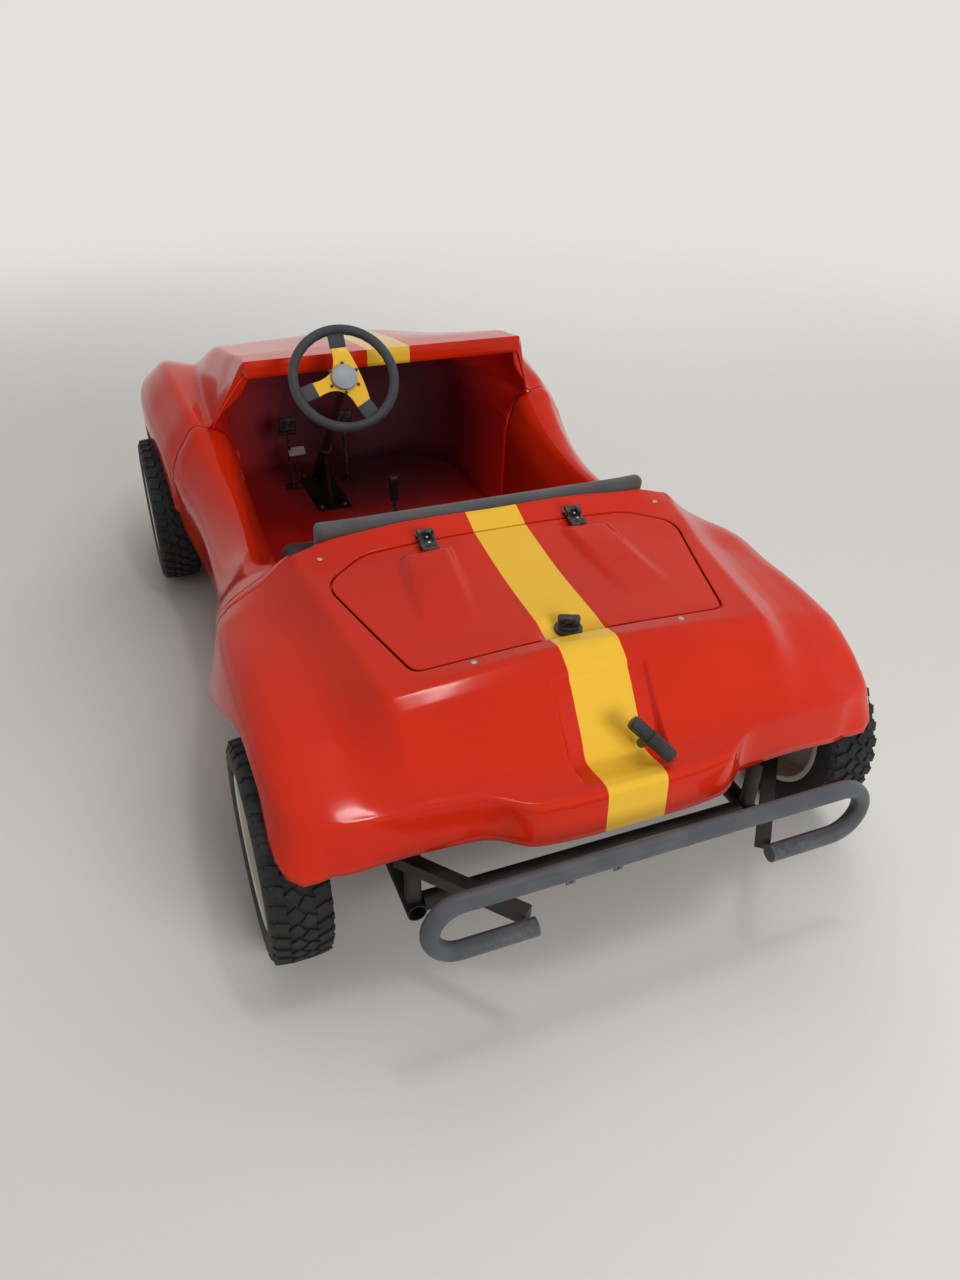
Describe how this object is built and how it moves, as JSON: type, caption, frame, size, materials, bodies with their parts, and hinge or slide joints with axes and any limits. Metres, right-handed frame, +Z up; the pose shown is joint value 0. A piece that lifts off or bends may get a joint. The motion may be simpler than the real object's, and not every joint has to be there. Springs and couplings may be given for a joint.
{
  "type": "child-size dune buggy",
  "caption": "Child-size open dune buggy with a glossy fibreglass body, hinged engine lid, bench seat, tubular bumpers, working steering and four turning wheels.",
  "frame": {"origin": "on the ground under the middle of the vehicle, bumpers included", "axes": "+Y towards the rear, +X towards the vehicle's left side, +Z up"},
  "size_m": [1.3152, 2.389, 0.8615],
  "materials": {
    "body_red": "gloss fibreglass",
    "tub_red": "fibreglass, brushed inside",
    "seat_vinyl": "black vinyl with worn edges",
    "frame_black": "satin black paint",
    "bumper_grey": "dark grey satin paint",
    "cast_grey": "bare casting",
    "engine_grey": "bare casting",
    "black_plastic": "moulded",
    "grip_rubber": "moulded foam rubber",
    "spoke_yellow": "gloss paint",
    "hub_grey": "satin",
    "steel": "turned and ground",
    "tyre_rubber": "block tread",
    "rim_white": "off-white paint"
  },
  "bodies": {
    "root": {"rear_body": "body_red", "nose_body": "body_red", "side_left": "body_red", "side_right": "body_red", "floor_tub": "tub_red", "bulkhead": "tub_red", "seat_base": "tub_red", "seat_cushion": "seat_vinyl", "backrest": "seat_vinyl", "frame_rail_left": "frame_black", "frame_rail_right": "frame_black", "cross_tube_1": "frame_black", "cross_tube_2": "frame_black", "cross_tube_3": "frame_black", "cross_tube_4": "frame_black", "front_axle_beam": "frame_black", "axle_bearings": "cast_grey", "engine_block": "engine_grey", "column_mount": "frame_black", "pedals": "black_plastic", "hand_lever": "black_plastic", "rear_bumper": "bumper_grey", "front_bumper": "bumper_grey", "rear_bumper_arms": "frame_black", "pull_handle": "black_plastic", "hinge_brackets": "black_plastic"},
    "lid": {"engine_lid": "body_red", "lid_hinges": "black_plastic", "lid_knob": "black_plastic"},
    "steering": {"steering_column": "frame_black", "steering_grip": "grip_rubber", "steering_spokes": "spoke_yellow", "steering_hub": "hub_grey"},
    "knuckle_left": {"knuckle_left": "steel"},
    "knuckle_right": {"knuckle_right": "steel"},
    "rod_left": {"tie_rod_left": "steel"},
    "rod_right": {"tie_rod_right": "steel"},
    "wheel_front_left": {"tyre_front_left": "tyre_rubber", "rim_front_left": "rim_white"},
    "wheel_front_right": {"tyre_front_right": "tyre_rubber", "rim_front_right": "rim_white"},
    "rear_axle": {"rear_axle_shaft": "steel", "sprocket": "steel", "brake_disc": "steel", "tyre_rear_left": "tyre_rubber", "rim_rear_left": "rim_white", "tyre_rear_right": "tyre_rubber", "rim_rear_right": "rim_white"}
  },
  "joints": [
    {"name": "lid_hinge", "type": "hinge", "parent": "root", "child": "lid", "pos_m": [0, 0.44, 0.633], "axis": [1, 0, 0], "range_deg": [0, 75]},
    {"name": "steering_turn", "type": "hinge", "parent": "root", "child": "steering", "pos_m": [0.16, -0.2, 0.75], "axis": [0.0779, 0.7791, 0.6221], "range_deg": [-50, 50]},
    {"name": "rear_axle_spin", "type": "hinge", "parent": "root", "child": "rear_axle", "pos_m": [0, 0.79, 0.215], "axis": [1, 0, 0], "continuous": true},
    {"name": "knuckle_left_turn", "type": "hinge", "parent": "root", "child": "knuckle_left", "pos_m": [0.5, -0.74, 0.215], "axis": [0, 0, 1], "range_deg": [-24, 24]},
    {"name": "rod_left_turn", "type": "hinge", "parent": "knuckle_left", "child": "rod_left", "pos_m": [0.5, -0.845, 0.131], "axis": [0, 0, 1], "range_deg": [-24, 24]},
    {"name": "wheel_front_left_spin", "type": "hinge", "parent": "knuckle_left", "child": "wheel_front_left", "pos_m": [0.6, -0.74, 0.215], "axis": [1, 0, 0], "continuous": true},
    {"name": "knuckle_right_turn", "type": "hinge", "parent": "root", "child": "knuckle_right", "pos_m": [-0.5, -0.74, 0.215], "axis": [0, 0, 1], "range_deg": [-24, 24]},
    {"name": "rod_right_turn", "type": "hinge", "parent": "knuckle_right", "child": "rod_right", "pos_m": [-0.5, -0.845, 0.131], "axis": [0, 0, 1], "range_deg": [-24, 24]},
    {"name": "wheel_front_right_spin", "type": "hinge", "parent": "knuckle_right", "child": "wheel_front_right", "pos_m": [-0.6, -0.74, 0.215], "axis": [1, 0, 0], "continuous": true}
  ],
  "couplings": [
    {"joint": "knuckle_left_turn", "follows": "steering_turn", "ratio": 0.48},
    {"joint": "rod_left_turn", "follows": "steering_turn", "ratio": -0.48},
    {"joint": "knuckle_right_turn", "follows": "steering_turn", "ratio": 0.48},
    {"joint": "rod_right_turn", "follows": "steering_turn", "ratio": -0.48}
  ]
}
